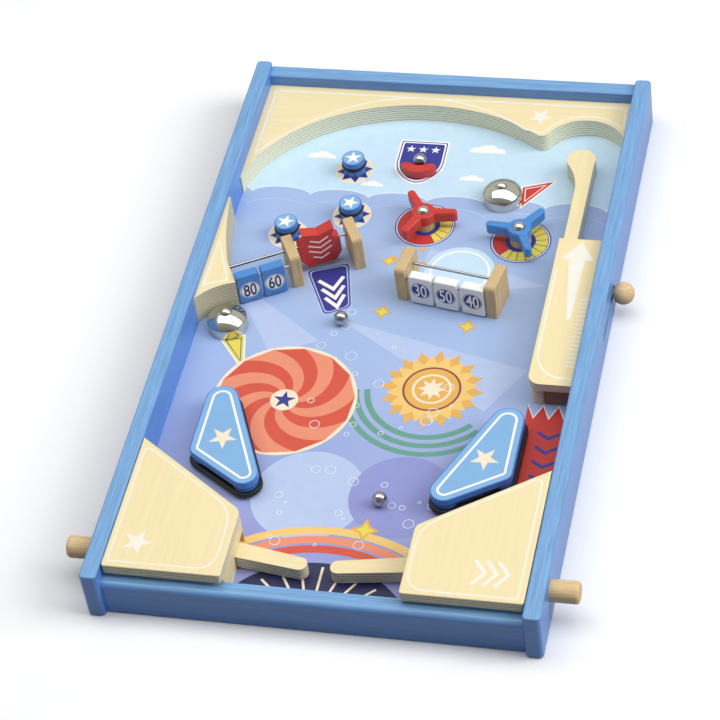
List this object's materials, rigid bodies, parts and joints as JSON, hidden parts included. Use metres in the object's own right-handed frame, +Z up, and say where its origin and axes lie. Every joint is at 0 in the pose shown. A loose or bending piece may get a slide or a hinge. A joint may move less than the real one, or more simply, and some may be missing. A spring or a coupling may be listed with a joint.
{
  "type": "tabletop pinball game",
  "caption": "Wooden tabletop pinball game: railed case with printed board, arch, bells, spinners, swinging score tiles, flap, flippers moved by side pegs, ball launcher.",
  "frame": {"origin": "middle of the footprint on the table", "axes": "+X to the player's right, +Y from the player to the back, +Z up"},
  "size_m": [0.4012, 0.6, 0.0545],
  "materials": {
    "blue_paint": "blue paint, satin",
    "printed_ply": "printed plywood, satin",
    "printed_board": "printed board, satin",
    "bare_wood": "bare sanded wood",
    "red_paint": "red paint, satin",
    "tile_paint": "coloured paint with printed numbers, satin",
    "bright_steel": "bright plated",
    "ball_steel": "polished",
    "plain_steel": "drawn wire",
    "black_rubber": "matte"
  },
  "bodies": {
    "cabinet": {"side_rail_left": "blue_paint", "side_rail_right": "blue_paint", "back_rail": "blue_paint", "front_rail": "blue_paint", "playfield_board": "printed_board", "top_arch": "printed_ply", "wedge_guide": "printed_ply", "lane_divider": "printed_ply", "launcher_cover": "printed_ply", "launcher_stop": "bare_wood", "launcher_spring": "plain_steel", "bell_left": "bright_steel", "bell_right": "bright_steel", "bell_posts": "bare_wood", "dome_screws": "bright_steel", "spinner_spacers": "bare_wood", "bumper_upper": "blue_paint", "bumper_middle": "blue_paint", "bumper_lower": "blue_paint", "bumper_rings": "black_rubber", "ball_catcher": "red_paint", "kicker_left": "blue_paint", "kicker_right": "blue_paint", "kicker_band_left": "black_rubber", "kicker_band_right": "black_rubber", "left_gate_post_outer": "bare_wood", "left_gate_post_inner": "bare_wood", "right_gate_post_inner": "bare_wood", "right_gate_post_outer": "bare_wood", "left_gate_axle": "plain_steel", "left_gate_rod": "plain_steel", "right_gate_rods": "plain_steel", "corner_cover_left": "printed_ply", "corner_cover_right": "printed_ply", "corner_block_left": "printed_ply", "corner_block_right": "printed_ply", "corner_strip_left": "printed_ply", "corner_strip_right": "printed_ply", "corner_wall_left": "printed_ply", "corner_wall_right": "printed_ply", "flipper_pivots": "plain_steel"},
    "peg_left": {"push_peg_left": "bare_wood"},
    "peg_right": {"push_peg_right": "bare_wood"},
    "flipper_left": {"flipper_left": "printed_ply"},
    "flipper_right": {"flipper_right": "printed_ply"},
    "plunger": {"plunger": "bare_wood", "plunger_knob": "bare_wood"},
    "spinner_red": {"spinner_red": "red_paint"},
    "spinner_blue": {"spinner_blue": "blue_paint"},
    "tile_80": {"score_tile_80": "tile_paint"},
    "tile_60": {"score_tile_60": "tile_paint"},
    "tile_30": {"score_tile_30": "tile_paint"},
    "tile_50": {"score_tile_50": "tile_paint"},
    "tile_40": {"score_tile_40": "tile_paint"},
    "flap": {"swing_flap": "red_paint"},
    "ball_left": {"ball_left": "ball_steel"},
    "ball_front": {"ball_front": "ball_steel"},
    "ball_caught": {"ball_caught": "ball_steel"}
  },
  "joints": [
    {"name": "peg_left_push", "type": "slide", "parent": "cabinet", "child": "peg_left", "axis": [1, 0, 0], "range_m": [0, 0.00826]},
    {"name": "peg_right_push", "type": "slide", "parent": "cabinet", "child": "peg_right", "axis": [-1, 0, 0], "range_m": [0, 0.00826]},
    {"name": "flipper_left_swing", "type": "hinge", "parent": "cabinet", "child": "flipper_left", "pos_m": [-0.0915, -0.2391, 0.019], "axis": [0, 0, 1], "range_deg": [0, 26]},
    {"name": "flipper_right_swing", "type": "hinge", "parent": "cabinet", "child": "flipper_right", "pos_m": [0.0865, -0.2391, 0.019], "axis": [0, 0, -1], "range_deg": [0, 26]},
    {"name": "plunger_pull", "type": "slide", "parent": "cabinet", "child": "plunger", "axis": [0, -1, 0], "range_m": [0, 0.047], "stiffness_N_per_m": 150, "springref_m": -0.004, "deforming": ["launcher_spring"]},
    {"name": "spinner_red_turn", "type": "hinge", "parent": "cabinet", "child": "spinner_red", "pos_m": [0.0042, 0.1375, 0.025], "axis": [0, 0, 1], "continuous": true},
    {"name": "spinner_blue_turn", "type": "hinge", "parent": "cabinet", "child": "spinner_blue", "pos_m": [0.0893, 0.1254, 0.025], "axis": [0, 0, 1], "continuous": true},
    {"name": "tile_80_swing", "type": "hinge", "parent": "cabinet", "child": "tile_80", "pos_m": [-0.09319, 0.05466, 0.036], "axis": [0.8788, 0.4772, 0], "range_deg": [-50, 77]},
    {"name": "tile_60_swing", "type": "hinge", "parent": "cabinet", "child": "tile_60", "pos_m": [-0.09319, 0.05466, 0.036], "axis": [0.8788, 0.4772, 0], "range_deg": [-240, 77]},
    {"name": "tile_30_swing", "type": "hinge", "parent": "cabinet", "child": "tile_30", "pos_m": [-0.00161, 0.05086, 0.036], "axis": [0.9848, -0.1736, 0], "range_deg": [-240, 77]},
    {"name": "tile_50_swing", "type": "hinge", "parent": "cabinet", "child": "tile_50", "pos_m": [-0.00161, 0.05086, 0.036], "axis": [0.9848, -0.1736, 0], "range_deg": [-240, 77]},
    {"name": "tile_40_swing", "type": "hinge", "parent": "cabinet", "child": "tile_40", "pos_m": [-0.00161, 0.05086, 0.036], "axis": [0.9848, -0.1736, 0], "range_deg": [-240, 77]},
    {"name": "flap_turn", "type": "hinge", "parent": "cabinet", "child": "flap", "pos_m": [-0.10092, 0.0689, 0.0384], "axis": [0.8788, 0.4772, 0], "continuous": true},
    {"name": "ball_left_lift", "type": "slide", "parent": "cabinet", "child": "ball_left", "axis": [0, 0, 1], "range_m": [0, 0.06]},
    {"name": "ball_front_lift", "type": "slide", "parent": "cabinet", "child": "ball_front", "axis": [0, 0, 1], "range_m": [0, 0.06]},
    {"name": "ball_caught_lift", "type": "slide", "parent": "cabinet", "child": "ball_caught", "axis": [0, 0, 1], "range_m": [0, 0.06]}
  ],
  "couplings": [
    {"joint": "flipper_left_swing", "follows": "peg_left_push", "rad_per_m": 54.88},
    {"joint": "flipper_right_swing", "follows": "peg_right_push", "rad_per_m": 54.88}
  ]
}
